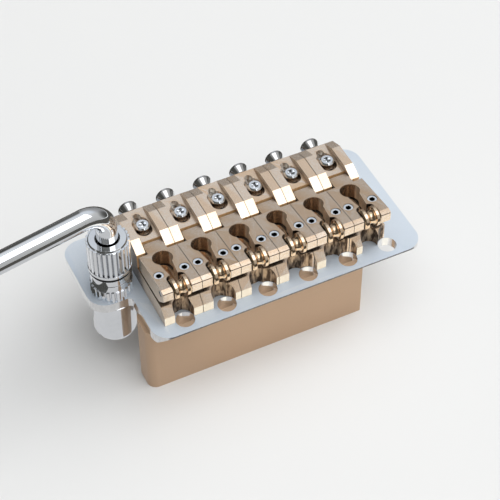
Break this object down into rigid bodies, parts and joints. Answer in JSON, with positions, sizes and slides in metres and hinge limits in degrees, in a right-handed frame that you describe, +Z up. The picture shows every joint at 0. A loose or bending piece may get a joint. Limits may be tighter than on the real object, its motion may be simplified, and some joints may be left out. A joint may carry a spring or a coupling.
{
  "type": "guitar tremolo bridge",
  "caption": "Top-loading tremolo bridge: chromed baseplate on a bronze-coloured block, sliding saddles with tilting roller tongues, and a swivelling arm in a knurled collar.",
  "frame": {"origin": "middle of the line of six pivot holes, on the top face of the baseplate", "axes": "+X along the row of strings, away from the arm; +Y to the rear, away from the neck; +Z up"},
  "size_m": [0.213, 0.04, 0.0541],
  "materials": {
    "chrome_plate": "polished chrome plating",
    "chrome_bright": "polished chrome plating",
    "bronze_satin": "satin bronze plating",
    "bronze_roller": "polished bronze",
    "bronze_block": "fine matt bronze",
    "zinc_steel": "turned steel",
    "nylon": "natural nylon",
    "rubber_black": "black rubber"
  },
  "bodies": {
    "plate": {"baseplate": "chrome_plate", "sustain_block": "bronze_block", "block_screws": "zinc_steel", "saddle_lock_screws": "chrome_bright", "arm_housing": "chrome_bright", "lower_collar": "chrome_bright", "friction_ring": "rubber_black", "arm_sleeve": "nylon", "arm_thrust_pad": "nylon", "barrel_plug_screw": "zinc_steel"},
    "arm": {"tremolo_arm": "chrome_bright"},
    "thumb_nut": {"thumb_nut": "chrome_bright"},
    "saddle_1": {"saddle_base_1": "bronze_satin", "hinge_pin_1": "zinc_steel"},
    "tongue_1": {"saddle_tongue_1": "bronze_satin", "roller_axle_1": "zinc_steel"},
    "roller_1": {"string_roller_1": "bronze_roller"},
    "height_screws_1": {"height_screws_1": "chrome_bright"},
    "intonation_screw_1": {"intonation_screw_1": "chrome_bright"},
    "saddle_2": {"saddle_base_2": "bronze_satin", "hinge_pin_2": "zinc_steel"},
    "tongue_2": {"saddle_tongue_2": "bronze_satin", "roller_axle_2": "zinc_steel"},
    "roller_2": {"string_roller_2": "bronze_roller"},
    "height_screws_2": {"height_screws_2": "chrome_bright"},
    "intonation_screw_2": {"intonation_screw_2": "chrome_bright"},
    "saddle_3": {"saddle_base_3": "bronze_satin", "hinge_pin_3": "zinc_steel"},
    "tongue_3": {"saddle_tongue_3": "bronze_satin", "roller_axle_3": "zinc_steel"},
    "roller_3": {"string_roller_3": "bronze_roller"},
    "height_screws_3": {"height_screws_3": "chrome_bright"},
    "intonation_screw_3": {"intonation_screw_3": "chrome_bright"},
    "saddle_4": {"saddle_base_4": "bronze_satin", "hinge_pin_4": "zinc_steel"},
    "tongue_4": {"saddle_tongue_4": "bronze_satin", "roller_axle_4": "zinc_steel"},
    "roller_4": {"string_roller_4": "bronze_roller"},
    "height_screws_4": {"height_screws_4": "chrome_bright"},
    "intonation_screw_4": {"intonation_screw_4": "chrome_bright"},
    "saddle_5": {"saddle_base_5": "bronze_satin", "hinge_pin_5": "zinc_steel"},
    "tongue_5": {"saddle_tongue_5": "bronze_satin", "roller_axle_5": "zinc_steel"},
    "roller_5": {"string_roller_5": "bronze_roller"},
    "height_screws_5": {"height_screws_5": "chrome_bright"},
    "intonation_screw_5": {"intonation_screw_5": "chrome_bright"},
    "saddle_6": {"saddle_base_6": "bronze_satin", "hinge_pin_6": "zinc_steel"},
    "tongue_6": {"saddle_tongue_6": "bronze_satin", "roller_axle_6": "zinc_steel"},
    "roller_6": {"string_roller_6": "bronze_roller"},
    "height_screws_6": {"height_screws_6": "chrome_bright"},
    "intonation_screw_6": {"intonation_screw_6": "chrome_bright"}
  },
  "joints": [
    {"name": "arm_swivel", "type": "hinge", "parent": "plate", "child": "arm", "pos_m": [-0.0403, 0.0177, 0.018], "axis": [0, 0, 1], "continuous": true},
    {"name": "thumb_nut_turn", "type": "hinge", "parent": "plate", "child": "thumb_nut", "pos_m": [-0.0403, 0.0177, 0.013], "axis": [0, 0, 1], "range_deg": [-180, 180]},
    {"name": "intonation_1_turn", "type": "hinge", "parent": "plate", "child": "intonation_screw_1", "pos_m": [-0.0285, 0.033, 0.0069], "axis": [0, -1, 0], "range_deg": [-1200, 800]},
    {"name": "saddle_1_slide", "type": "slide", "parent": "plate", "child": "saddle_1", "axis": [0, 1, 0], "range_m": [-0.0015, 0.001]},
    {"name": "tongue_1_tilt", "type": "hinge", "parent": "saddle_1", "child": "tongue_1", "pos_m": [-0.0285, 0.018, 0.0076], "axis": [-1, 0, 0], "range_deg": [-3.5, 5]},
    {"name": "height_screws_1_travel", "type": "slide", "parent": "tongue_1", "child": "height_screws_1", "axis": [0, 0, -1], "range_m": [-0.0007, 0.001]},
    {"name": "roller_1_spin", "type": "hinge", "parent": "tongue_1", "child": "roller_1", "pos_m": [-0.0285, 0.00205, 0.0103], "axis": [1, 0, 0], "continuous": true},
    {"name": "intonation_2_turn", "type": "hinge", "parent": "plate", "child": "intonation_screw_2", "pos_m": [-0.0181, 0.033, 0.0069], "axis": [0, -1, 0], "range_deg": [-1200, 800]},
    {"name": "saddle_2_slide", "type": "slide", "parent": "plate", "child": "saddle_2", "axis": [0, 1, 0], "range_m": [-0.0015, 0.001]},
    {"name": "tongue_2_tilt", "type": "hinge", "parent": "saddle_2", "child": "tongue_2", "pos_m": [-0.0181, 0.018, 0.0076], "axis": [-1, 0, 0], "range_deg": [-3.5, 5]},
    {"name": "height_screws_2_travel", "type": "slide", "parent": "tongue_2", "child": "height_screws_2", "axis": [0, 0, -1], "range_m": [-0.0007, 0.001]},
    {"name": "roller_2_spin", "type": "hinge", "parent": "tongue_2", "child": "roller_2", "pos_m": [-0.0181, 0.00205, 0.0103], "axis": [1, 0, 0], "continuous": true},
    {"name": "intonation_3_turn", "type": "hinge", "parent": "plate", "child": "intonation_screw_3", "pos_m": [-0.0077, 0.033, 0.0069], "axis": [0, -1, 0], "range_deg": [-1200, 800]},
    {"name": "saddle_3_slide", "type": "slide", "parent": "plate", "child": "saddle_3", "axis": [0, 1, 0], "range_m": [-0.0015, 0.001]},
    {"name": "tongue_3_tilt", "type": "hinge", "parent": "saddle_3", "child": "tongue_3", "pos_m": [-0.0077, 0.018, 0.0076], "axis": [-1, 0, 0], "range_deg": [-3.5, 5]},
    {"name": "height_screws_3_travel", "type": "slide", "parent": "tongue_3", "child": "height_screws_3", "axis": [0, 0, -1], "range_m": [-0.0007, 0.001]},
    {"name": "roller_3_spin", "type": "hinge", "parent": "tongue_3", "child": "roller_3", "pos_m": [-0.0077, 0.00205, 0.0103], "axis": [1, 0, 0], "continuous": true},
    {"name": "intonation_4_turn", "type": "hinge", "parent": "plate", "child": "intonation_screw_4", "pos_m": [0.0027, 0.033, 0.0069], "axis": [0, -1, 0], "range_deg": [-1200, 800]},
    {"name": "saddle_4_slide", "type": "slide", "parent": "plate", "child": "saddle_4", "axis": [0, 1, 0], "range_m": [-0.0015, 0.001]},
    {"name": "tongue_4_tilt", "type": "hinge", "parent": "saddle_4", "child": "tongue_4", "pos_m": [0.0027, 0.018, 0.0076], "axis": [-1, 0, 0], "range_deg": [-3.5, 5]},
    {"name": "height_screws_4_travel", "type": "slide", "parent": "tongue_4", "child": "height_screws_4", "axis": [0, 0, -1], "range_m": [-0.0007, 0.001]},
    {"name": "roller_4_spin", "type": "hinge", "parent": "tongue_4", "child": "roller_4", "pos_m": [0.0027, 0.00205, 0.0103], "axis": [1, 0, 0], "continuous": true},
    {"name": "intonation_5_turn", "type": "hinge", "parent": "plate", "child": "intonation_screw_5", "pos_m": [0.0131, 0.033, 0.0069], "axis": [0, -1, 0], "range_deg": [-1200, 800]},
    {"name": "saddle_5_slide", "type": "slide", "parent": "plate", "child": "saddle_5", "axis": [0, 1, 0], "range_m": [-0.0015, 0.001]},
    {"name": "tongue_5_tilt", "type": "hinge", "parent": "saddle_5", "child": "tongue_5", "pos_m": [0.0131, 0.018, 0.0076], "axis": [-1, 0, 0], "range_deg": [-3.5, 5]},
    {"name": "height_screws_5_travel", "type": "slide", "parent": "tongue_5", "child": "height_screws_5", "axis": [0, 0, -1], "range_m": [-0.0007, 0.001]},
    {"name": "roller_5_spin", "type": "hinge", "parent": "tongue_5", "child": "roller_5", "pos_m": [0.0131, 0.00205, 0.0103], "axis": [1, 0, 0], "continuous": true},
    {"name": "intonation_6_turn", "type": "hinge", "parent": "plate", "child": "intonation_screw_6", "pos_m": [0.0235, 0.033, 0.0069], "axis": [0, -1, 0], "range_deg": [-1200, 800]},
    {"name": "saddle_6_slide", "type": "slide", "parent": "plate", "child": "saddle_6", "axis": [0, 1, 0], "range_m": [-0.0015, 0.001]},
    {"name": "tongue_6_tilt", "type": "hinge", "parent": "saddle_6", "child": "tongue_6", "pos_m": [0.0235, 0.018, 0.0076], "axis": [-1, 0, 0], "range_deg": [-3.5, 5]},
    {"name": "height_screws_6_travel", "type": "slide", "parent": "tongue_6", "child": "height_screws_6", "axis": [0, 0, -1], "range_m": [-0.0007, 0.001]},
    {"name": "roller_6_spin", "type": "hinge", "parent": "tongue_6", "child": "roller_6", "pos_m": [0.0235, 0.00205, 0.0103], "axis": [1, 0, 0], "continuous": true}
  ],
  "couplings": [
    {"joint": "intonation_1_turn", "follows": "saddle_1_slide", "rad_per_m": 13963},
    {"joint": "height_screws_1_travel", "follows": "tongue_1_tilt", "m_per_rad": 0.0113},
    {"joint": "intonation_2_turn", "follows": "saddle_2_slide", "rad_per_m": 13963},
    {"joint": "height_screws_2_travel", "follows": "tongue_2_tilt", "m_per_rad": 0.0113},
    {"joint": "intonation_3_turn", "follows": "saddle_3_slide", "rad_per_m": 13963},
    {"joint": "height_screws_3_travel", "follows": "tongue_3_tilt", "m_per_rad": 0.0113},
    {"joint": "intonation_4_turn", "follows": "saddle_4_slide", "rad_per_m": 13963},
    {"joint": "height_screws_4_travel", "follows": "tongue_4_tilt", "m_per_rad": 0.0113},
    {"joint": "intonation_5_turn", "follows": "saddle_5_slide", "rad_per_m": 13963},
    {"joint": "height_screws_5_travel", "follows": "tongue_5_tilt", "m_per_rad": 0.0113},
    {"joint": "intonation_6_turn", "follows": "saddle_6_slide", "rad_per_m": 13963},
    {"joint": "height_screws_6_travel", "follows": "tongue_6_tilt", "m_per_rad": 0.0113}
  ]
}
